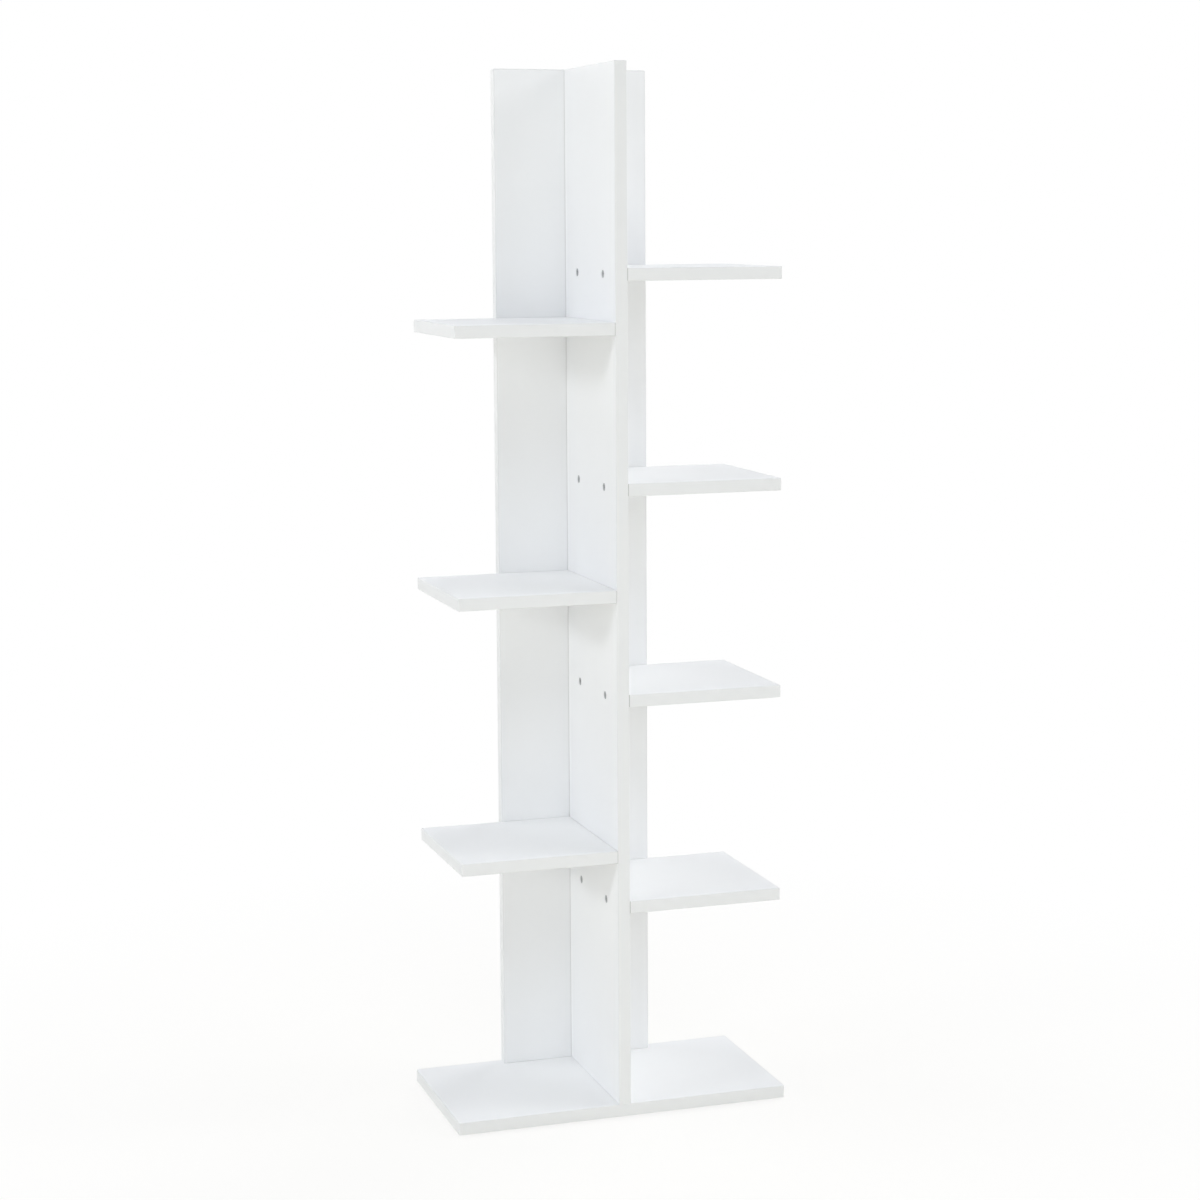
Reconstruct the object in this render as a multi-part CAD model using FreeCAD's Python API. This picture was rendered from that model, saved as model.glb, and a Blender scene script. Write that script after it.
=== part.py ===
"""Tree bookshelf: a slim upright on a base, backed by a narrow panel, with shelves branching to both sides.

X runs to the right, Y to the back and Z up. The origin is on the floor, in the middle of the footprint.
The boards are butted together with countersunk furniture screws and wooden dowels.
"""
import FreeCAD, Part
import math
import os

from FreeCAD import Rotation, Vector

# Boards, all lengths in millimetres
board = 15.0               # thickness of every board
trunk_height = 1255.0      # upright and back panel, standing on the base
shelf_reach = 195.0        # shelf, from the upright to its free end
shelf_depth = 195.0        # shelf and upright, front to back
back_width = 195.0         # back panel, side to side
base_overhang = 7.5        # base past the free ends of the shelves
left_shelves = 3
right_shelves = 4

# Edge banding
band = 1.0                 # thickness of the strip glued to each exposed edge
arris = 0.5                # bevel along the edges of a finished board
base_corner = 2.0          # rounding of the base's four upright corners

# Furniture screws with a countersunk head and a hexagon socket
fastener_side_count = 12   # flat sides round each screw, dowel and nail, and round its hole
screw_length = 50.0
screw_sink = 0.3           # top of the head below the board's face
screw_head_radius = 5.0
screw_head_rim = 0.8       # straight rim above the cone of the head
screw_collar_radius = 3.5  # plain collar in the outer board
screw_collar_relief = 0.5  # collar stops this far short of the joint
screw_body_radius = 2.5
screw_tip = 4.0            # length of the tapered tip
screw_tip_radius = 1.2
socket_flats = 4.0
socket_depth = 2.5
socket_side_count = 6

# Wooden dowels
dowel_radius = 4.0
dowel_length = 30.0
dowel_chamfer = 1.0
dowel_skin = 5.0           # wood left behind a dowel in the face of a board

# Drilling
drill_clearance = 0.1      # hole over fastener, on the radius
drill_spare = 2.0          # depth left past the end of a fastener
drill_overrun = 1.0        # drill starts this far outside the face

# Where the fasteners stand
shelf_screw_spread = 100.0      # between the two screws of a shelf
back_screw_inset = 30.0         # screw into a shelf, from the side of the back panel
trunk_screws = 4                # from the back panel into the upright, in the longest free stretches
trunk_dowels = 2                # between the same two boards, in the next longest stretches
base_screw_spread = 120.0       # between the two screws under each standing board
base_dowel_spread = 60.0        # between the two dowels under each standing board

# Floor glides, each moulded on the head of a nail
glide_height = 3.0
glide_radius = 9.0
glide_edge = 1.0           # bevel of the rim that meets the floor
glide_side_count = 24      # flat sides round each glide
glide_inset = 25.0         # centre of a glide from the edges of the base
nail_radius = 1.1
nail_head_radius = 4.0
nail_head = 1.2
nail_tip = 3.0             # length of the tapered tip
nail_tip_radius = 0.3
nail_skin = 4.0            # wood left above the tip of a nail

# Levels and lines that the boards share
base_bottom = glide_height
base_top = base_bottom + board
trunk_top = base_top + trunk_height
rear = (shelf_depth + board) / 2
front = -rear
back_face = rear - board
shelf_middle = (front + back_face) / 2
back_middle = (back_face + rear) / 2
side = board / 2
shelf_end = side + shelf_reach
base_end = shelf_end + base_overhang

# Outward directions of the faces that carry a strip
LEFT = Vector(-1, 0, 0)
RIGHT = Vector(1, 0, 0)
FRONT = Vector(0, -1, 0)
REAR = Vector(0, 1, 0)
TOP = Vector(0, 0, 1)

nodes = {}
holes = []


def box_between(low, high):
    """Box with its lowest and highest corners given."""
    return Part.makeBox(*(high - low), low)


def upright_edges(shape):
    """Edges of a box that run along Z."""
    return [edge for edge in shape.Edges if edge.BoundBox.ZLength > edge.BoundBox.DiagonalLength / 2]


def bevelled(shape):
    """Shape with every sharp edge bevelled."""
    return shape.makeChamfer(arris, shape.Edges)


def rounded_and_bevelled(shape):
    """Shape with its upright corners rounded and the edges round its top and underside bevelled."""
    rounded = shape.makeFillet(base_corner, upright_edges(shape))
    flat_edges = [edge for edge in rounded.Edges if edge.BoundBox.ZLength < arris]
    return rounded.makeChamfer(arris, flat_edges)


def banded_board(name, low, high, faces, finish=bevelled):
    """Split a finished board into its core and its edge strips.

    The strips are glued in the order of faces: the first run the full length, the next stop against them.
    """
    finished = finish(box_between(low, high))
    strips = []
    for outward in faces:
        rest = outward * (abs(outward.dot(high - low)) - band)
        if sum(outward) < 0:
            strip = box_between(low, high + rest)
            low = low - outward * band
        else:
            strip = box_between(low + rest, high)
            high = high - outward * band
        strips.append(finished.common(strip))
    nodes[name] = [finished.common(box_between(low, high))]
    nodes[name + "_edge_bands"] = strips


def ring(radius, height, side_count):
    """Corners of a regular polygon about Z, with the first again at the end."""
    turns = [2 * math.pi * step / side_count for step in range(side_count)]
    corners = [Vector(radius * math.cos(turn), radius * math.sin(turn), height) for turn in turns]
    return corners + corners[:1]


def flat_face(corners):
    """Plane face inside a closed row of corners."""
    return Part.Face(Part.makePolygon(corners))


def turned(profile, side_count=fastener_side_count):
    """Solid about Z through flat-sided rings, from (radius, height) pairs in order of height."""
    rings = [ring(radius, height, side_count) for radius, height in profile]
    ends = [flat_face(rings[0]), flat_face(rings[-1])]
    walls = [
        flat_face([low[step], low[step + 1], high[step + 1], high[step], low[step]])
        for low, high in zip(rings, rings[1:])
        for step in range(side_count)
    ]
    shell = Part.makeShell(ends + walls)
    shell.sewShape()
    return Part.makeSolid(shell)


def placed(shape, point, direction):
    """Shape with its own Z turned to a direction and its own origin moved to a point."""
    moved = shape.copy()
    moved.Placement = FreeCAD.Placement(point, Rotation(Vector(0, 0, 1), direction))
    return moved


def hexagon_socket():
    """Hexagonal prism from the top of the head down to the bottom of the socket."""
    corner = socket_flats / 2 / math.cos(math.pi / socket_side_count)
    return flat_face(ring(corner, screw_sink, socket_side_count)).extrude(Vector(0, 0, socket_depth))


def furniture_screw():
    """Screw along Z, with Z = 0 on the outer board's face."""
    rim_end = screw_sink + screw_head_rim
    cone_end = rim_end + screw_head_radius - screw_collar_radius
    tip_end = screw_sink + screw_length
    body = turned([
        (screw_head_radius, screw_sink),
        (screw_head_radius, rim_end),
        (screw_collar_radius, cone_end),
        (screw_collar_radius, board - screw_collar_relief),
        (screw_body_radius, board),
        (screw_body_radius, tip_end - screw_tip),
        (screw_tip_radius, tip_end),
    ])
    return body.cut(hexagon_socket())


def screw_hole():
    """Stepped hole: countersink and clearance hole in the outer board, pilot hole in the next."""
    seat = screw_head_radius + drill_clearance
    shank = screw_collar_radius + drill_clearance
    pilot = screw_body_radius + drill_clearance
    rim_end = screw_sink + screw_head_rim
    bottom = screw_sink + screw_length + drill_spare
    clearance_hole = turned([
        (seat, -drill_overrun),
        (seat, rim_end),
        (shank, rim_end + seat - shank),
        (shank, board),
    ])
    pilot_hole = turned([(pilot, board), (pilot, bottom)])
    return clearance_hole.fuse(pilot_hole)


def wooden_dowel():
    """Dowel along Z, with Z = 0 on the joint and the short end in the face of a board below it."""
    low = dowel_skin - board
    high = low + dowel_length
    return turned([
        (dowel_radius - dowel_chamfer, low),
        (dowel_radius, low + dowel_chamfer),
        (dowel_radius, high - dowel_chamfer),
        (dowel_radius - dowel_chamfer, high),
    ])


def dowel_hole():
    """Blind hole on both sides of a joint, a little longer than its dowel in the edge."""
    radius = dowel_radius + drill_clearance
    low = dowel_skin - board
    return turned([(radius, low - drill_clearance), (radius, low + dowel_length + drill_spare)])


def floor_glide():
    """Round pad from the floor up, with a seat for the nail's head in its top."""
    pad = turned([
        (glide_radius - glide_edge, 0),
        (glide_radius, glide_edge),
        (glide_radius, glide_height),
    ], glide_side_count)
    seat_radius = nail_head_radius + drill_clearance
    seat = turned([(seat_radius, glide_height - nail_head), (seat_radius, glide_height)])
    return pad.cut(seat)


def glide_nail():
    """Nail that points up, with its head let into the glide."""
    head_low = glide_height - nail_head
    tip_end = base_top - nail_skin
    head = turned([(nail_head_radius, head_low), (nail_head_radius, glide_height)])
    shank = turned([
        (nail_radius, glide_height),
        (nail_radius, tip_end - nail_tip),
        (nail_tip_radius, tip_end),
    ])
    return head.fuse(shank)


def nail_hole():
    """Hole that the nail makes in the base."""
    radius = nail_radius + drill_clearance
    return turned([(radius, base_bottom), (radius, base_top - nail_skin + drill_clearance)])


def fasten(name, fastener, hole, seats):
    """Set copies of a fastener at (point, direction) seats and keep the holes that they need."""
    nodes[name] = [placed(fastener, point, direction) for point, direction in seats]
    holes.extend(placed(hole, point, direction) for point, direction in seats)


def spread(middle, width):
    """Two places, evenly about the middle."""
    return [middle - width / 2, middle + width / 2]


def shelf_levels(count):
    """Undersides of equally spaced shelves between the base and the top of the upright."""
    bay = (trunk_height - count * board) / (count + 1)
    return [base_top + bay + step * (bay + board) for step in range(count)]


def drilled(solid):
    """Board or strip with every hole that reaches it cut out."""
    reached = [hole for hole in holes if hole.BoundBox.intersect(solid.BoundBox)]
    if not reached:
        return solid
    return solid.cut(reached).Solids[0]


# Base and trunk
banded_board(
    "base_panel",
    Vector(-base_end, front, base_bottom),
    Vector(base_end, rear, base_top),
    [FRONT, REAR, LEFT, RIGHT],
    rounded_and_bevelled,
)
banded_board(
    "upright_panel",
    Vector(-side, front, base_top),
    Vector(side, back_face, trunk_top),
    [FRONT, TOP],
)
banded_board(
    "back_panel",
    Vector(-back_width / 2, back_face, base_top),
    Vector(back_width / 2, rear, trunk_top),
    [LEFT, RIGHT, TOP],
)

# Shelves, counted from the base up, each with two screws through the upright
screw = furniture_screw()
stepped_hole = screw_hole()
forward = FRONT
upward = TOP
back_shelf_seats = []
shelf_centres = []
branches = [("left", -1, left_shelves, LEFT), ("right", 1, right_shelves, RIGHT)]
for branch, way, count, free_end in branches:
    for number, underside in enumerate(shelf_levels(count), start=1):
        name = f"{branch}_shelf_{number}"
        near, far = sorted([way * side, way * shelf_end])
        banded_board(
            name,
            Vector(near, front, underside),
            Vector(far, back_face, underside + board),
            [FRONT, REAR, free_end],
        )
        centre = underside + board / 2
        shelf_centres.append(centre)
        upright_seats = [
            (Vector(-way * side, depth, centre), Vector(way, 0, 0))
            for depth in spread(shelf_middle, shelf_screw_spread)
        ]
        fasten(name + "_screws", screw, stepped_hole, upright_seats)
        back_shelf_x = way * (back_width / 2 - back_screw_inset)
        back_shelf_seats.append((Vector(back_shelf_x, rear, centre), forward))

# Back panel onto the shelves and the upright, clear of the shelves' own screws
fasten("back_to_shelf_screws", screw, stepped_hole, back_shelf_seats)
stops = [base_top] + sorted(shelf_centres) + [trunk_top]
stretches = sorted(zip(stops, stops[1:]), key=lambda ends: ends[0] - ends[1])
middles = [(low + high) / 2 for low, high in stretches]
dowel = wooden_dowel()
blind_hole = dowel_hole()
fasten("back_to_upright_screws", screw, stepped_hole, [
    (Vector(0, rear, middle), forward) for middle in middles[:trunk_screws]
])
fasten("back_to_upright_dowels", dowel, blind_hole, [
    (Vector(0, back_face, middle), forward) for middle in middles[trunk_screws:trunk_screws + trunk_dowels]
])

# Base onto the two standing boards, from below
fasten("base_to_upright_screws", screw, stepped_hole, [
    (Vector(0, depth, base_bottom), upward) for depth in spread(shelf_middle, base_screw_spread)
])
fasten("base_to_back_screws", screw, stepped_hole, [
    (Vector(across, back_middle, base_bottom), upward) for across in spread(0, base_screw_spread)
])
fasten("base_to_upright_dowels", dowel, blind_hole, [
    (Vector(0, depth, base_top), upward) for depth in spread(shelf_middle, base_dowel_spread)
])
fasten("base_to_back_dowels", dowel, blind_hole, [
    (Vector(across, back_middle, base_top), upward) for across in spread(0, base_dowel_spread)
])

# Floor glides near the corners of the base
glide_seats = [
    (Vector(across, depth, 0), upward)
    for across in spread(0, 2 * (base_end - glide_inset))
    for depth in spread(0, 2 * (rear - glide_inset))
]
nodes["floor_glides"] = [placed(floor_glide(), point, direction) for point, direction in glide_seats]
fasten("glide_nails", glide_nail(), nail_hole(), glide_seats)

# Drill the boards and strips, then write one file for each node
os.makedirs("parts", exist_ok=True)
for name, solids in nodes.items():
    if name.endswith(("_panel", "_edge_bands")) or name[-1].isdigit():
        solids = [drilled(solid) for solid in solids]
    Part.makeCompound(solids).exportStep(os.path.join("parts", name + ".step"))
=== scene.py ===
import math

import bmesh
import bpy
import numpy as np
from bpy.props import FloatProperty, FloatVectorProperty, IntProperty, PointerProperty
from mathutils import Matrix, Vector


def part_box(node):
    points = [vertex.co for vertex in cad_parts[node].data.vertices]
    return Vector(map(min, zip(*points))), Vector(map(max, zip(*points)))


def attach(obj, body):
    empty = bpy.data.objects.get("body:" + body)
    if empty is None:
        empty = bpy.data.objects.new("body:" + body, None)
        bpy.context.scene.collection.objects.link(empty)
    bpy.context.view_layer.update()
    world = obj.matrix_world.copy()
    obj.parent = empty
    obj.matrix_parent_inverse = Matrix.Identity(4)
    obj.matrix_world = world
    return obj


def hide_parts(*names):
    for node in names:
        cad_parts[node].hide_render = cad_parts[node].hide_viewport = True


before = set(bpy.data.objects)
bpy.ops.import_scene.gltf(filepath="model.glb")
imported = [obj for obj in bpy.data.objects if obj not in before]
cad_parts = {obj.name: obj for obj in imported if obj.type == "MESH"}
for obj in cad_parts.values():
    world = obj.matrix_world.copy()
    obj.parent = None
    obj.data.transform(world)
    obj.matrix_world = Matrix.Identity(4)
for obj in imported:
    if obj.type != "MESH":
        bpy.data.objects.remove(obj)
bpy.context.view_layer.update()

bl_info = {
    "name": "Tree Bookshelf",
    "version": (1, 0, 0),
    "blender": (4, 5, 0),
    "location": "3D View > Sidebar > Tree Shelf",
    "description": "Finishes a white tree bookshelf and sets it on a plain studio floor",
    "category": "Object",
}

BODY = "root"

# Directions in which the screws are driven
TO_RIGHT = (1.0, 0.0, 0.0)
TO_LEFT = (-1.0, 0.0, 0.0)
TO_FRONT = (0.0, -1.0, 0.0)
UPWARD = (0.0, 0.0, 1.0)

# Where the painted joint shadows lie: half the upright's thickness, and the front of the back
# panel behind it
UPRIGHT_HALF = float(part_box("upright_panel")[1][0])
BACK_FACE = float(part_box("back_panel")[0][1])

# Screw heads of a CAD node: depth of the layer with their tops, and least gap between two heads
HEAD_LAYER = 0.0001
HEAD_GAP = 0.015

# Floor and mouth of a screw's socket, as shares of its hexagon
SOCKET_FLOOR = 0.98
SOCKET_MOUTH = 1.04

# Rows in the rounded rim of a screw, and slope of its thread in thread heights per pitch
RIM_ROWS = 5
THREAD_SLOPE = 3.2

# Distance within which points are merged, and angle past which an edge is sharp
MERGE_DISTANCE = 0.000001
SHARP_ANGLE = math.radians(35.0)

# Noise: share of fine detail, and the part of its range that is spread over a finish
NOISE_ROUGHNESS = 0.55
NOISE_LOW = 0.3
NOISE_HIGH = 0.7

# Grain of each finish: waves in a metre and octaves
FACE_CLOUD = (25.0, 2.0)
FACE_PEARL = (1100.0, 2.0)
BAND_CLOUD = (60.0, 2.0)
BAND_GRAIN = (500.0, 3.0)
METAL_CLOUD = (700.0, 3.0)
METAL_SCRATCHES = (2500.0, 2.0)
BEECH_FLECKS = (800.0, 4.0)
PLASTIC_SKIN = (600.0, 2.0)

# Share by which the colour of a fitting is darker and lighter from place to place
METAL_CHANGE = 0.12
BEECH_CHANGE = 0.18
PLASTIC_CHANGE = 0.03

# Roughness: how far it strays on the boards and the metal, and its range on the other fittings
FACE_STRAY = 0.02
BAND_STRAY = 0.04
METAL_SMOOTHER = 0.08
METAL_ROUGHER = 0.10
BEECH_ROUGHNESS = (0.62, 0.78)
PLASTIC_ROUGHNESS = (0.38, 0.50)
NAIL_ROUGHNESS = 0.3

# Depth of the grain in the fittings, in metres
METAL_DEPTH = 0.000004
BEECH_DEPTH = 0.00008
PLASTIC_DEPTH = 0.00003

# Stage: floor a hair under the glides, distance of the soft lights, camera's sensor and far end
FLOOR_LEVEL = -0.0002
LIGHT_DISTANCE = 5.0
SENSOR_WIDTH = 36.0
VIEW_END = 200.0
WHITE = (1.0, 1.0, 1.0, 1.0)

# Soft lights: name, heading from the front, height and spread in degrees, strength, colour
SOFT_LIGHTS = (
    ("light_left", -77.0, 17.0, 8.0, 0.502, (0.94, 0.96, 1.0)),
    ("light_right", 75.0, 19.0, 8.0, 0.32, (0.99, 0.99, 1.0)),
    ("light_front_right", 50.0, 22.0, 15.0, 0.235, (0.96, 0.97, 1.0)),
    ("light_low_left", -78.0, 4.0, 25.0, 0.34, (0.93, 0.96, 1.0)),
    ("light_high_right", 75.0, 40.0, 25.0, 0.505, (0.97, 0.98, 1.0)),
    ("light_high_front", -10.0, 45.0, 25.0, 0.499, (0.93, 0.97, 1.0)),
    ("light_high_left", -110.0, 58.0, 25.0, 0.325, (0.97, 0.98, 1.0)),
    ("light_rear_right", 120.0, 40.0, 25.0, 0.621, (0.98, 0.98, 1.0)),
    ("light_rear_left", -120.0, 40.0, 25.0, 0.199, (0.92, 0.95, 1.0)),
    ("light_rear", 180.0, 8.0, 30.0, 0.40, (1.0, 0.99, 1.0)),
    ("light_low_rear_left", -150.0, 8.0, 30.0, 0.24, (1.0, 1.0, 1.0)),
)

# Panels of light near the shelf: name, place, point faced, width and height, watts, colour
NEAR_LIGHTS = (
    ("light_panel_front", (-0.1, -1.9, 0.70), (0.0, 0.0, 0.60), 1.0, 0.6, 3.08, (0.99, 1.0, 0.99)),
)


class TreeShelfFinish(bpy.types.PropertyGroup):
    """Colours and surface values of the boards and their fittings."""

    face_color: FloatVectorProperty(
        name="Board face", description="White of the melamine faces",
        subtype="COLOR", default=(0.90, 0.905, 0.91), min=0.0, max=1.0)
    face_roughness: FloatProperty(
        name="Face roughness", description="Satin of the melamine faces",
        subtype="FACTOR", default=0.48, min=0.0, max=1.0)
    face_gloss: FloatProperty(
        name="Gloss", description="Strength of the reflections in the faces and the edge strips",
        subtype="FACTOR", default=0.08, min=0.0, max=1.0)
    band_color: FloatVectorProperty(
        name="Edge band", description="White of the strips on the edges",
        subtype="COLOR", default=(0.82, 0.825, 0.825), min=0.0, max=1.0)
    band_roughness: FloatProperty(
        name="Band roughness", description="Satin of the edge strips",
        subtype="FACTOR", default=0.42, min=0.0, max=1.0)
    white_change: FloatProperty(
        name="White change",
        description="Share by which the white is darker and lighter from place to place",
        subtype="FACTOR", default=0.003, min=0.0, max=0.2)
    # Painted shadow lines in the joints where boards meet the upright: their width and colours
    joint_shadow_width: FloatProperty(
        name="Joint width", description="Width of the shadow line where a board meets the upright",
        unit="LENGTH", default=0.001, min=0.0001, max=0.005)
    joint_shadow_color: FloatVectorProperty(
        name="Joint", description="Shade inside the joints of the shelves and the upright",
        subtype="COLOR", default=(0.45, 0.45, 0.43), min=0.0, max=1.0)
    # Painted shadow line on the back panel along the upright, lighter than the shelves' one
    trunk_joint_shadow_color: FloatVectorProperty(
        name="Trunk joint", description="Shade inside the joint of the back panel and the upright",
        subtype="COLOR", default=(0.72, 0.72, 0.71), min=0.0, max=1.0)
    pearl_depth: FloatProperty(
        name="Pearl depth", description="Height of the fine texture on the faces and edge strips",
        unit="LENGTH", default=0.0000012, min=0.0, max=0.001)
    zinc_color: FloatVectorProperty(
        name="Screw", description="Dull zinc of the screws",
        subtype="COLOR", default=(0.44, 0.44, 0.45), min=0.0, max=1.0)
    zinc_roughness: FloatProperty(
        name="Screw roughness", description="Dullness of the zinc",
        subtype="FACTOR", default=0.36, min=0.0, max=1.0)
    beech_color: FloatVectorProperty(
        name="Dowel", description="Raw beech of the dowels",
        subtype="COLOR", default=(0.62, 0.42, 0.24), min=0.0, max=1.0)
    glide_color: FloatVectorProperty(
        name="Glide", description="Moulded plastic of the floor glides",
        subtype="COLOR", default=(0.70, 0.70, 0.68), min=0.0, max=1.0)
    nail_color: FloatVectorProperty(
        name="Nail", description="Bright steel of the glide nails",
        subtype="COLOR", default=(0.60, 0.60, 0.61), min=0.0, max=1.0)


class TreeShelfScrew(bpy.types.PropertyGroup):
    """Sizes of one furniture screw."""

    length: FloatProperty(
        name="Length", description="From the head to the tip",
        unit="LENGTH", default=0.050, min=0.02)
    head_radius: FloatProperty(
        name="Head radius", description="Countersunk head",
        unit="LENGTH", default=0.0049, min=0.002)
    head_rim: FloatProperty(
        name="Head rim", description="Straight rim above the cone",
        unit="LENGTH", default=0.0008, min=0.0)
    head_round: FloatProperty(
        name="Head rounding", description="Rounded rim of the head",
        unit="LENGTH", default=0.0003, min=0.0)
    collar_radius: FloatProperty(
        name="Collar radius", description="Plain collar under the head",
        unit="LENGTH", default=0.00345, min=0.001)
    collar_end: FloatProperty(
        name="Collar end", description="End of the collar from the head",
        unit="LENGTH", default=0.0142, min=0.005)
    core_radius: FloatProperty(
        name="Core radius", description="Core of the thread",
        unit="LENGTH", default=0.0019, min=0.0005)
    thread_radius: FloatProperty(
        name="Thread radius", description="Crest of the thread",
        unit="LENGTH", default=0.0025, min=0.001)
    thread_pitch: FloatProperty(
        name="Thread pitch", description="Rise of the thread in one turn",
        unit="LENGTH", default=0.003, min=0.001)
    tip_length: FloatProperty(
        name="Tip", description="Tapered end",
        unit="LENGTH", default=0.004, min=0.001)
    tip_radius: FloatProperty(
        name="Tip radius", description="Blunt end of the tip",
        unit="LENGTH", default=0.0012, min=0.0002)
    socket_flats: FloatProperty(
        name="Socket", description="Across the flats of the hexagon",
        unit="LENGTH", default=0.004, min=0.001)
    socket_depth: FloatProperty(
        name="Socket depth", description="Depth of the hexagon",
        unit="LENGTH", default=0.0025, min=0.0005)
    columns: IntProperty(
        name="Columns", description="Points round a screw, a multiple of six",
        default=48, min=12)
    turn_rows: IntProperty(
        name="Rows in a turn", description="Rows of points in one turn of the thread",
        default=6, min=4)


class TreeShelfStage(bpy.types.PropertyGroup):
    """Camera, light from all round and floor."""

    camera_place: FloatVectorProperty(
        name="Camera", description="Place of the camera",
        subtype="XYZ", unit="LENGTH", default=(-0.9652, -2.9808, 1.0947))
    camera_turn: FloatVectorProperty(
        name="Camera turn", description="Tilt, roll and heading of the camera",
        subtype="EULER", unit="ROTATION",
        default=(math.radians(82.174), math.radians(0.326), math.radians(-18.087)))
    camera_lens: FloatProperty(
        name="Lens", description="Focal length in millimetres on a 36 mm sensor",
        default=77.285, min=1.0)
    camera_rise: FloatProperty(
        name="Shift", description="Vertical shift of the frame, as a share of its width",
        default=-0.025)
    horizon_color: FloatVectorProperty(
        name="Horizon", description="Colour of the light from all round",
        subtype="COLOR", default=(0.95, 0.97, 1.0))
    zenith_color: FloatVectorProperty(
        name="Zenith", description="Colour of the light from overhead",
        subtype="COLOR", default=(0.68, 0.71, 0.746))
    ambient_strength: FloatProperty(
        name="Ambient strength", description="Level of the light from all round",
        default=0.414, min=0.0)
    floor_color: FloatVectorProperty(
        name="Floor", description="Pale studio floor",
        subtype="COLOR", default=(0.955, 0.93, 0.85))
    floor_size: FloatProperty(
        name="Floor size", description="Side of the floor",
        unit="LENGTH", default=60.0, min=1.0)
    floor_glow: FloatProperty(
        name="Floor glow", description="Share of plain white that is seen on the floor",
        subtype="FACTOR", default=0.84, min=0.0, max=1.0)
    shadow_core: FloatProperty(
        name="Shadow core", description="Distance from which the floor fades to plain white",
        unit="LENGTH", default=0.4, min=0.0)
    shadow_reach: FloatProperty(
        name="Shadow reach", description="Distance at which the floor is seen as plain white",
        unit="LENGTH", default=1.2, min=0.1)


def add_node(tree, kind, settings=None, **inputs):
    """Shader node with its settings and the values of its named sockets."""
    node = tree.nodes.new(kind)
    for name, value in (settings or {}).items():
        setattr(node, name, value)
    for name, value in inputs.items():
        node.inputs[name.replace("_", " ")].default_value = value
    return node


def empty_tree(owner):
    """Node tree of a material or world, with no nodes."""
    owner.use_nodes = True
    owner.node_tree.nodes.clear()
    return owner.node_tree


def add_noise(tree, place, waves, octaves):
    """Noise on object coordinates, as a socket."""
    noise = add_node(
        tree, "ShaderNodeTexNoise", Scale=waves, Detail=octaves, Roughness=NOISE_ROUGHNESS)
    tree.links.new(place, noise.inputs["Vector"])
    return noise.outputs["Fac"]


def spread_value(tree, factor, low, high, target):
    """Send noise, spread between two values, to a socket."""
    spread = add_node(
        tree, "ShaderNodeMapRange",
        From_Min=NOISE_LOW, From_Max=NOISE_HIGH, To_Min=low, To_Max=high)
    tree.links.new(factor, spread.inputs["Value"])
    tree.links.new(spread.outputs["Result"], target)


def spread_color(tree, factor, color, change):
    """Colour that noise makes a little darker and lighter, as a socket."""
    darker = [value * (1.0 - change) for value in color]
    lighter = [min(1.0, value * (1.0 + change)) for value in color]
    mix = add_node(
        tree, "ShaderNodeMix", {"data_type": "RGBA"}, A=(*darker, 1.0), B=(*lighter, 1.0))
    spread_value(tree, factor, 0.0, 1.0, mix.inputs["Factor"])
    return mix.outputs["Result"]


def paint_joint_shadow(tree, place, color, joint_shadow_color, joint_shadow_width):
    """Colour with a painted shadow line where a board meets the upright, as a socket.

    The painted shade is darkest against the upright's face and fades over its width. The rear of
    the back panel has none.
    """
    split = add_node(tree, "ShaderNodeSeparateXYZ")
    aside = add_node(tree, "ShaderNodeMath", {"operation": "ABSOLUTE"})
    # Painted shade: 1 against the upright's face, 0 past the width, only in front of the back
    # panel
    shade = add_node(
        tree, "ShaderNodeMapRange",
        From_Min=UPRIGHT_HALF, From_Max=UPRIGHT_HALF + joint_shadow_width, To_Min=1.0, To_Max=0.0)
    front = add_node(tree, "ShaderNodeMath", {"operation": "LESS_THAN"})
    front.inputs[1].default_value = BACK_FACE + joint_shadow_width / 2
    line = add_node(tree, "ShaderNodeMath", {"operation": "MULTIPLY"})
    mix = add_node(tree, "ShaderNodeMix", {"data_type": "RGBA"}, B=(*joint_shadow_color, 1.0))
    tree.links.new(place, split.inputs["Vector"])
    tree.links.new(split.outputs["X"], aside.inputs[0])
    tree.links.new(aside.outputs["Value"], shade.inputs["Value"])
    tree.links.new(split.outputs["Y"], front.inputs[0])
    tree.links.new(shade.outputs["Result"], line.inputs[0])
    tree.links.new(front.outputs["Value"], line.inputs[1])
    tree.links.new(line.outputs["Value"], mix.inputs["Factor"])
    tree.links.new(color, mix.inputs["A"])
    return mix.outputs["Result"]


def raise_grain(tree, factor, depth, surface):
    """Bump a surface by noise of a real depth."""
    bump = add_node(tree, "ShaderNodeBump", Strength=1.0, Distance=depth)
    tree.links.new(factor, bump.inputs["Height"])
    tree.links.new(bump.outputs["Normal"], surface.inputs["Normal"])


def grained_material(name, color, change, cloud, grain, roughness, depth, joint=None):
    """Material whose colour, roughness and bump follow noise, with its Principled surface.

    The cloud makes the colour a little darker and lighter. The grain spreads the roughness
    between two values and raises the surface to a depth. A joint is the colour and the width of
    the painted shadow line where a board meets the upright.
    """
    material = bpy.data.materials.new(name)
    tree = empty_tree(material)
    surface = add_node(tree, "ShaderNodeBsdfPrincipled")
    output = add_node(tree, "ShaderNodeOutputMaterial")
    tree.links.new(surface.outputs["BSDF"], output.inputs["Surface"])
    place = add_node(tree, "ShaderNodeTexCoord").outputs["Object"]
    shade = spread_color(tree, add_noise(tree, place, *cloud), color, change)
    # A painted shadow line darkens the colour where a board meets the upright
    if joint is not None:
        shade = paint_joint_shadow(tree, place, shade, *joint)
    tree.links.new(shade, surface.inputs["Base Color"])
    fine = add_noise(tree, place, *grain)
    spread_value(tree, fine, *roughness, surface.inputs["Roughness"])
    raise_grain(tree, fine, depth, surface)
    return material, surface


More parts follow.
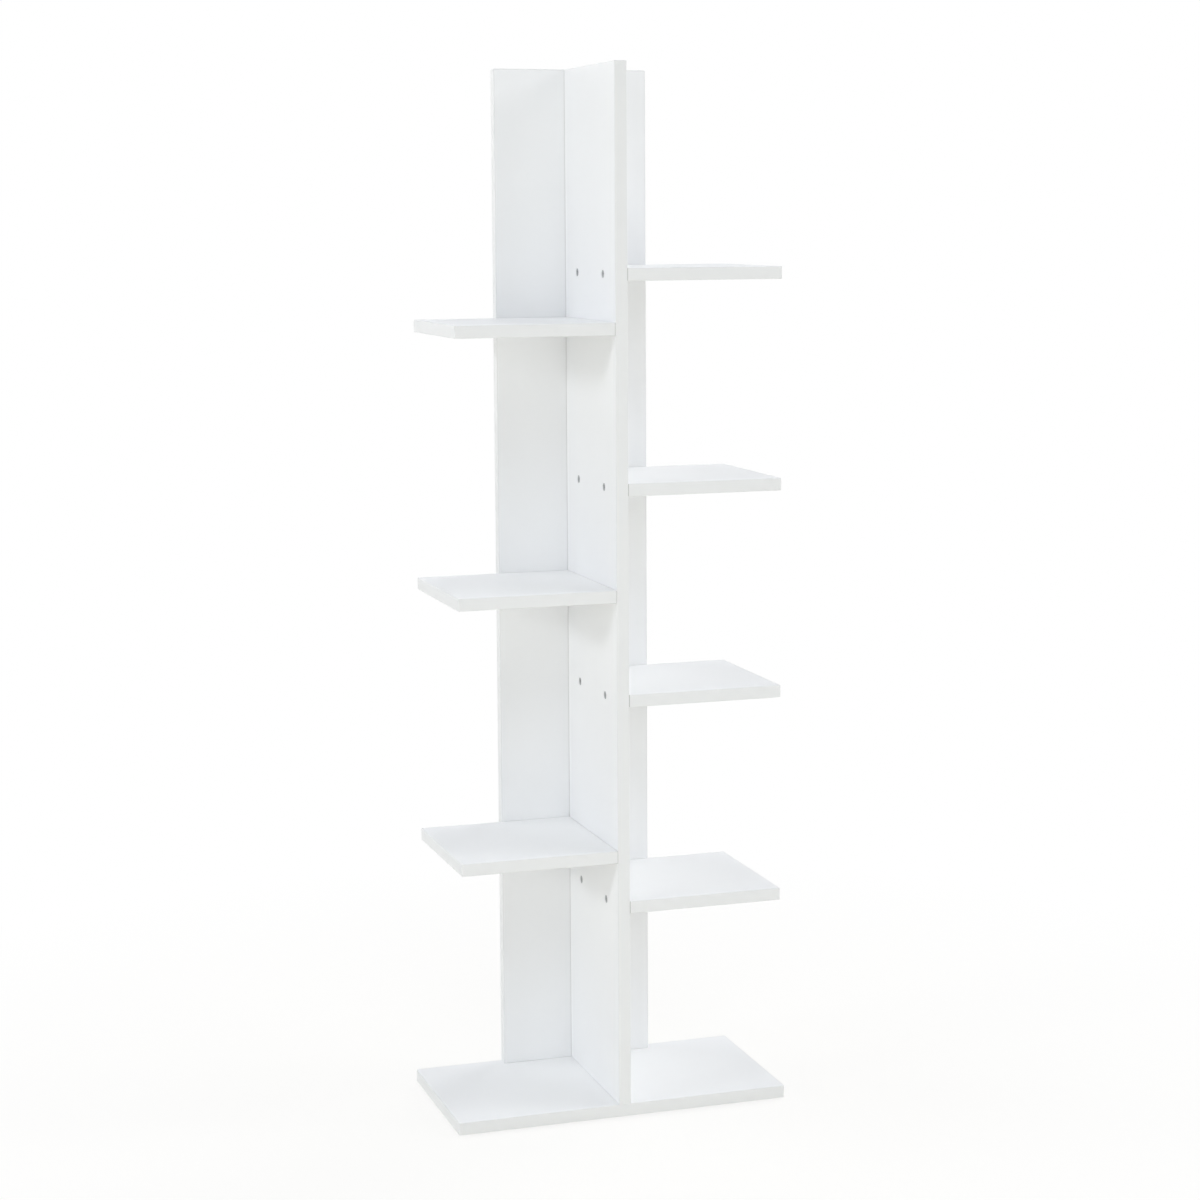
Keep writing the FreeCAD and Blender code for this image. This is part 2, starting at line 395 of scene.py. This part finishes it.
def melamine(name, finish, joint=None):
    """White melamine face with the pearl texture of its press plate and a barely uneven white."""
    roughness = (finish.face_roughness - FACE_STRAY, finish.face_roughness + FACE_STRAY)
    material, surface = grained_material(
        name, finish.face_color, finish.white_change, FACE_CLOUD, FACE_PEARL,
        roughness, finish.pearl_depth, joint)
    surface.inputs["Specular IOR Level"].default_value = finish.face_gloss
    return material


def edge_band(name, finish, joint=None):
    """Plastic strip, a little darker than the faces, with a coarser grain."""
    roughness = (finish.band_roughness - BAND_STRAY, finish.band_roughness + BAND_STRAY)
    material, surface = grained_material(
        name, finish.band_color, finish.white_change, BAND_CLOUD, BAND_GRAIN,
        roughness, finish.pearl_depth, joint)
    surface.inputs["Specular IOR Level"].default_value = finish.face_gloss
    return material


def plated_metal(name, color, roughness):
    """Dull plated metal with cloudy patches and fine scratches."""
    material, surface = grained_material(
        name, color, METAL_CHANGE, METAL_CLOUD, METAL_SCRATCHES,
        (roughness - METAL_SMOOTHER, roughness + METAL_ROUGHER), METAL_DEPTH)
    surface.inputs["Metallic"].default_value = 1.0
    return material


def beech(name, color):
    """Raw beech with short flecks and a dry surface."""
    material, _ = grained_material(
        name, color, BEECH_CHANGE, BEECH_FLECKS, BEECH_FLECKS, BEECH_ROUGHNESS, BEECH_DEPTH)
    return material


def moulded_plastic(name, color):
    """Smooth moulded plastic with a faint orange-peel skin."""
    material, _ = grained_material(
        name, color, PLASTIC_CHANGE, PLASTIC_SKIN, PLASTIC_SKIN, PLASTIC_ROUGHNESS, PLASTIC_DEPTH)
    return material


def dress(node, material):
    """Give a CAD node one material."""
    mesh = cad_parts[node].data
    mesh.materials.clear()
    mesh.materials.append(material)


def node_names(ending):
    """CAD nodes whose names end in a word, in order."""
    return sorted(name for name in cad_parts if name.endswith(ending))


def shelf_names():
    """CAD nodes of the shelf boards, in order."""
    return sorted(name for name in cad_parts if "_shelf_" in name and name[-1].isdigit())


def node_points(node):
    """Vertices of a CAD node as an array of points."""
    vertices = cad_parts[node].data.vertices
    points = np.empty(len(vertices) * 3, np.float32)
    vertices.foreach_get("co", points)
    return points.reshape(-1, 3).astype(float)


def drive_of(node):
    """Direction in which the screws of a CAD node are driven."""
    if node.startswith("back_"):
        return TO_FRONT
    if node.startswith("base_"):
        return UPWARD
    return TO_RIGHT if node.startswith("right_") else TO_LEFT


def screw_seats(node, drive):
    """Centres of the screw heads of a node, from its points that lie furthest against the drive.

    The heads stand apart along one axis, so the points are sorted along it and parted at wide
    gaps.
    """
    points = node_points(node)
    depth = points @ np.array(drive)
    tops = points[depth < depth.min() + HEAD_LAYER]
    along = np.argmax(np.ptp(tops, axis=0))
    tops = tops[np.argsort(tops[:, along])]
    gaps = np.flatnonzero(np.diff(tops[:, along]) > HEAD_GAP) + 1
    return np.array([(part.min(0) + part.max(0)) / 2 for part in np.split(tops, gaps)])


def screw_surface(screw):
    """Angles, radii and heights of one screw on rows and columns, with its head at height 0.

    Each row is a closed line round the axis. In the socket the radius is a hexagon's: half the
    flats over the cosine of the angle from the nearest flat. The head's rim is a quarter of a
    circle, and the cone, the collar and the tip are straight. On the thread the radius rises from
    the core to the crest and falls again once in each turn: a triangle wave of height over pitch
    less angle, cut flat at the crest.
    """
    angle = np.linspace(0.0, 2 * np.pi, screw.columns, endpoint=False)
    sixth = np.pi / 3
    hexagon = screw.socket_flats / 2 / np.cos((angle + sixth / 2) % sixth - sixth / 2)
    rounding = screw.head_round
    depth = screw.socket_depth
    socket = np.outer([0.0, SOCKET_FLOOR, 1.0, 1.0, SOCKET_MOUTH], hexagon)
    socket_heights = [depth, depth, depth - rounding / 2, rounding / 2, 0.0]
    quarter = np.linspace(0.0, np.pi / 2, RIM_ROWS)
    cone_end = screw.head_rim + screw.head_radius - screw.collar_radius
    turned = [
        *(screw.head_radius - rounding + rounding * np.sin(quarter)),
        screw.head_radius, screw.collar_radius, screw.collar_radius]
    turned_heights = [
        *(rounding - rounding * np.cos(quarter)),
        screw.head_rim, cone_end, screw.collar_end]
    thread_end = screw.length - screw.tip_length
    turns = (thread_end - screw.collar_end) / screw.thread_pitch
    thread_heights = np.linspace(
        screw.collar_end, thread_end, int(turns * screw.turn_rows) + 1)[1:]
    phase = (thread_heights[:, None] / screw.thread_pitch - angle / (2 * np.pi)) % 1.0
    ridge = np.clip(THREAD_SLOPE * (0.5 - np.abs(phase - 0.5)), 0.0, 1.0)
    thread = screw.core_radius + (screw.thread_radius - screw.core_radius) * ridge
    circle = np.ones_like(angle)
    tip = [screw.tip_radius, 0.0]
    tip_heights = [screw.length, screw.length]
    radius = np.vstack([socket, np.outer(turned, circle), thread, np.outer(tip, circle)])
    height = np.concatenate([socket_heights, turned_heights, thread_heights, tip_heights])
    return angle, radius, height


def drive_axes(drive):
    """Two directions across a drive, which make a right-handed set with it, and the drive."""
    along = Vector(drive)
    across = along.orthogonal().normalized()
    return np.array(across), np.array(along.cross(across)), np.array(along)


def screw_mesh(name, screw, seats, drive):
    """Mesh of screws at several seats.

    A point is its seat, plus the radius times the cosine and the sine of its angle along the two
    directions across the drive, plus its height along the drive.
    """
    angle, radius, height = screw_surface(screw)
    across, upward, along = drive_axes(drive)
    local = (
        (radius * np.cos(angle))[..., None] * across
        + (radius * np.sin(angle))[..., None] * upward
        + height[:, None, None] * along
    )
    rows, columns = radius.shape
    points = (seats[:, None, None, :] + local[None]).reshape(-1, 3)
    row, column = np.meshgrid(np.arange(rows - 1), np.arange(columns), indexing="ij")
    beside = (column + 1) % columns
    quads = np.stack([
        row * columns + column,
        row * columns + beside,
        (row + 1) * columns + beside,
        (row + 1) * columns + column,
    ], axis=-1).reshape(-1, 4)
    copies = np.arange(len(seats))[:, None, None] * rows * columns
    mesh = bpy.data.meshes.new(name)
    mesh.from_pydata(points, [], (quads[None] + copies).reshape(-1, 4))
    return mesh


def close_and_smooth(mesh):
    """Merge the points of each pole, turn the faces outwards and smooth all but sharp edges."""
    shape = bmesh.new()
    shape.from_mesh(mesh)
    bmesh.ops.remove_doubles(shape, verts=shape.verts, dist=MERGE_DISTANCE)
    bmesh.ops.recalc_face_normals(shape, faces=shape.faces)
    shape.to_mesh(mesh)
    shape.free()
    mesh.polygons.foreach_set("use_smooth", np.ones(len(mesh.polygons), bool))
    mesh.set_sharp_from_angle(angle=SHARP_ANGLE)


def add_to_scene(name, data):
    """New object of a mesh, lamp or camera, in the scene."""
    item = bpy.data.objects.new(name, data)
    bpy.context.scene.collection.objects.link(item)
    return item


def add_piece(name, mesh, material):
    """New piece in the scene, on the one body."""
    mesh.materials.append(material)
    piece = add_to_scene(name, mesh)
    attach(piece, BODY)
    return piece


def seen_rays(tree):
    """1 for rays from the camera and for those that reflect or pass through, or else 0."""
    path = add_node(tree, "ShaderNodeLightPath")
    first = add_node(tree, "ShaderNodeMath", {"operation": "MAXIMUM"})
    both = add_node(tree, "ShaderNodeMath", {"operation": "MAXIMUM"})
    tree.links.new(path.outputs["Is Camera Ray"], first.inputs[0])
    tree.links.new(path.outputs["Is Glossy Ray"], first.inputs[1])
    tree.links.new(first.outputs["Value"], both.inputs[0])
    tree.links.new(path.outputs["Is Transmission Ray"], both.inputs[1])
    return both.outputs["Value"]


def set_world(stage):
    """Light from all round, weaker overhead. The camera and reflections see it as plain white."""
    world = bpy.data.worlds.new("studio_world")
    tree = empty_tree(world)
    light = add_node(tree, "ShaderNodeBackground", Strength=stage.ambient_strength)
    direction = add_node(tree, "ShaderNodeTexCoord")
    height = add_node(tree, "ShaderNodeSeparateXYZ")
    sky = add_node(
        tree, "ShaderNodeMix", {"data_type": "RGBA", "clamp_factor": True},
        A=(*stage.horizon_color, 1.0), B=(*stage.zenith_color, 1.0))
    white = add_node(tree, "ShaderNodeBackground", Color=WHITE, Strength=1.0)
    mix = add_node(tree, "ShaderNodeMixShader")
    output = add_node(tree, "ShaderNodeOutputWorld")
    tree.links.new(direction.outputs["Generated"], height.inputs["Vector"])
    tree.links.new(height.outputs["Z"], sky.inputs["Factor"])
    tree.links.new(sky.outputs["Result"], light.inputs["Color"])
    tree.links.new(seen_rays(tree), mix.inputs["Fac"])
    tree.links.new(light.outputs["Background"], mix.inputs[1])
    tree.links.new(white.outputs["Background"], mix.inputs[2])
    tree.links.new(mix.outputs["Shader"], output.inputs["Surface"])
    bpy.context.scene.world = world


def floor_material(stage):
    """Matt pale floor that keeps a shadow.

    A share of what is seen of it is plain white, and that share grows to all of it with the
    distance from the shelf.
    """
    material = bpy.data.materials.new("studio_floor")
    tree = empty_tree(material)
    matt = add_node(tree, "ShaderNodeBsdfDiffuse", Color=(*stage.floor_color, 1.0))
    white = add_node(tree, "ShaderNodeEmission", Color=WHITE, Strength=1.0)
    place = add_node(tree, "ShaderNodeTexCoord")
    distance = add_node(tree, "ShaderNodeVectorMath", {"operation": "LENGTH"})
    glow = add_node(
        tree, "ShaderNodeMapRange", From_Min=stage.shadow_core, From_Max=stage.shadow_reach,
        To_Min=stage.floor_glow, To_Max=1.0)
    share = add_node(tree, "ShaderNodeMath", {"operation": "MULTIPLY"})
    mix = add_node(tree, "ShaderNodeMixShader")
    output = add_node(tree, "ShaderNodeOutputMaterial")
    tree.links.new(place.outputs["Object"], distance.inputs[0])
    tree.links.new(distance.outputs["Value"], glow.inputs["Value"])
    tree.links.new(seen_rays(tree), share.inputs[0])
    tree.links.new(glow.outputs["Result"], share.inputs[1])
    tree.links.new(share.outputs["Value"], mix.inputs["Fac"])
    tree.links.new(matt.outputs["BSDF"], mix.inputs[1])
    tree.links.new(white.outputs["Emission"], mix.inputs[2])
    tree.links.new(mix.outputs["Shader"], output.inputs["Surface"])
    return material


def add_floor(stage):
    """Square floor a hair under the glides."""
    half = stage.floor_size / 2
    corners = [
        (-half, -half, FLOOR_LEVEL), (half, -half, FLOOR_LEVEL),
        (half, half, FLOOR_LEVEL), (-half, half, FLOOR_LEVEL)]
    mesh = bpy.data.meshes.new("studio_floor")
    mesh.from_pydata(corners, [], [(0, 1, 2, 3)])
    mesh.materials.append(floor_material(stage))
    add_to_scene("studio_floor", mesh)


def add_soft_light(name, heading, height, spread, strength, color):
    """Distant soft light on the shelf, from a heading and a height.

    The heading counts from the front towards the right.
    """
    lamp = bpy.data.lights.new(name, "SUN")
    lamp.energy = strength
    lamp.color = color
    lamp.angle = math.radians(spread)
    heading, height = math.radians(heading), math.radians(height)
    level = math.cos(height)
    towards = Vector((math.sin(heading) * level, -math.cos(heading) * level, math.sin(height)))
    light = add_to_scene(name, lamp)
    light.location = towards * LIGHT_DISTANCE
    light.rotation_euler = towards.to_track_quat("Z", "Y").to_euler()


def add_near_light(name, place, target, width, height, power, color):
    """Soft panel of light near the shelf, turned towards a point on it."""
    lamp = bpy.data.lights.new(name, "AREA")
    lamp.shape = "RECTANGLE"
    lamp.size = width
    lamp.size_y = height
    lamp.energy = power
    lamp.color = color
    away = Vector(place) - Vector(target)
    light = add_to_scene(name, lamp)
    light.location = place
    light.rotation_euler = away.to_track_quat("Z", "Y").to_euler()
    light.visible_camera = False


def add_camera(stage):
    """Camera to the front left of the shelf, a little lower than its top."""
    lens = bpy.data.cameras.new("camera")
    lens.sensor_width = SENSOR_WIDTH
    lens.lens = stage.camera_lens
    lens.shift_y = stage.camera_rise
    lens.clip_end = VIEW_END
    camera = add_to_scene("camera", lens)
    camera.location = stage.camera_place
    camera.rotation_euler = stage.camera_turn
    bpy.context.scene.camera = camera


class TREESHELF_OT_boards(bpy.types.Operator):
    """Face the boards with white melamine, with a painted shadow line where they meet the upright
    """

    bl_idname = "tree_shelf.boards"
    bl_label = "Face Boards"

    def execute(self, context):
        finish = context.scene.tree_shelf_finish
        plain = melamine("melamine", finish)
        # Shelves get a painted shadow line along their joint with the upright
        joint_shadowed = melamine("melamine_joint_shadowed", finish, (finish.joint_shadow_color, finish.joint_shadow_width))
        # The back panel gets a lighter painted shadow line along its joint with the upright
        trunk_joint_shadow = (finish.trunk_joint_shadow_color, finish.joint_shadow_width)
        for node in ("base_panel", "upright_panel"):
            dress(node, plain)
        for node in shelf_names():
            dress(node, joint_shadowed)
        dress("back_panel", melamine("melamine_back", finish, trunk_joint_shadow))
        return {"FINISHED"}


class TREESHELF_OT_bands(bpy.types.Operator):
    """Finish the strips on the boards' edges, with a painted shadow line at the upright on shelves
    """

    bl_idname = "tree_shelf.bands"
    bl_label = "Finish Edge Bands"

    def execute(self, context):
        finish = context.scene.tree_shelf_finish
        strip = edge_band("edge_band", finish)
        # The shelves' strips get the painted shadow line where they meet the upright
        shelf_strip = edge_band(
            "edge_band_joint_shadowed", finish, (finish.joint_shadow_color, finish.joint_shadow_width))
        for node in node_names("_edge_bands"):
            dress(node, shelf_strip if "_shelf_" in node else strip)
        return {"FINISHED"}


class TREESHELF_OT_screws(bpy.types.Operator):
    """Turn the furniture screws, each with a hexagon socket and a thread"""

    bl_idname = "tree_shelf.screws"
    bl_label = "Turn Screws"

    def execute(self, context):
        finish = context.scene.tree_shelf_finish
        screw = context.scene.tree_shelf_screw
        zinc = plated_metal("dull_zinc", finish.zinc_color, finish.zinc_roughness)
        for node in node_names("_screws"):
            drive = drive_of(node)
            mesh = screw_mesh(node + "_turned", screw, screw_seats(node, drive), drive)
            close_and_smooth(mesh)
            piece = add_piece(node + "_turned", mesh, zinc)
            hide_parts(node)
        return {"FINISHED"}


class TREESHELF_OT_fittings(bpy.types.Operator):
    """Finish the dowels, the floor glides and their nails"""

    bl_idname = "tree_shelf.fittings"
    bl_label = "Finish Dowels and Glides"

    def execute(self, context):
        finish = context.scene.tree_shelf_finish
        wood = beech("raw_beech", finish.beech_color)
        for node in node_names("_dowels"):
            dress(node, wood)
        dress("floor_glides", moulded_plastic("glide_plastic", finish.glide_color))
        dress("glide_nails", plated_metal("nail_steel", finish.nail_color, NAIL_ROUGHNESS))
        return {"FINISHED"}


class TREESHELF_OT_stage(bpy.types.Operator):
    """Set up the floor, the soft light and the camera"""

    bl_idname = "tree_shelf.stage"
    bl_label = "Set Stage"

    def execute(self, context):
        stage = context.scene.tree_shelf_stage
        context.scene.view_settings.view_transform = "Standard"
        set_world(stage)
        add_floor(stage)
        for light in SOFT_LIGHTS:
            add_soft_light(*light)
        for light in NEAR_LIGHTS:
            add_near_light(*light)
        add_camera(stage)
        return {"FINISHED"}


OPERATORS = (
    TREESHELF_OT_boards,
    TREESHELF_OT_bands,
    TREESHELF_OT_screws,
    TREESHELF_OT_fittings,
    TREESHELF_OT_stage,
)


class TREESHELF_PT_panel(bpy.types.Panel):
    """Operators and settings of the tree bookshelf"""

    bl_idname = "TREESHELF_PT_panel"
    bl_label = "Tree Bookshelf"
    bl_space_type = "VIEW_3D"
    bl_region_type = "UI"
    bl_category = "Tree Shelf"

    def draw(self, context):
        layout = self.layout
        for operator in OPERATORS:
            layout.operator(operator.bl_idname)
        for settings in (
            context.scene.tree_shelf_finish,
            context.scene.tree_shelf_screw,
            context.scene.tree_shelf_stage,
        ):
            box = layout.box()
            for name in settings.__annotations__:
                box.prop(settings, name)


CLASSES = (TreeShelfFinish, TreeShelfScrew, TreeShelfStage, *OPERATORS, TREESHELF_PT_panel)


def register():
    """Register the classes and hang the settings on the scene."""
    for item in CLASSES:
        bpy.utils.register_class(item)
    bpy.types.Scene.tree_shelf_finish = PointerProperty(type=TreeShelfFinish)
    bpy.types.Scene.tree_shelf_screw = PointerProperty(type=TreeShelfScrew)
    bpy.types.Scene.tree_shelf_stage = PointerProperty(type=TreeShelfStage)


def unregister():
    """Take the settings off the scene and unregister the classes."""
    del bpy.types.Scene.tree_shelf_stage
    del bpy.types.Scene.tree_shelf_screw
    del bpy.types.Scene.tree_shelf_finish
    for item in reversed(CLASSES):
        bpy.utils.unregister_class(item)


def main():
    register()
    bpy.ops.tree_shelf.boards()
    bpy.ops.tree_shelf.bands()
    bpy.ops.tree_shelf.screws()
    bpy.ops.tree_shelf.fittings()
    bpy.ops.tree_shelf.stage()


if __name__ == "__main__":
    main()
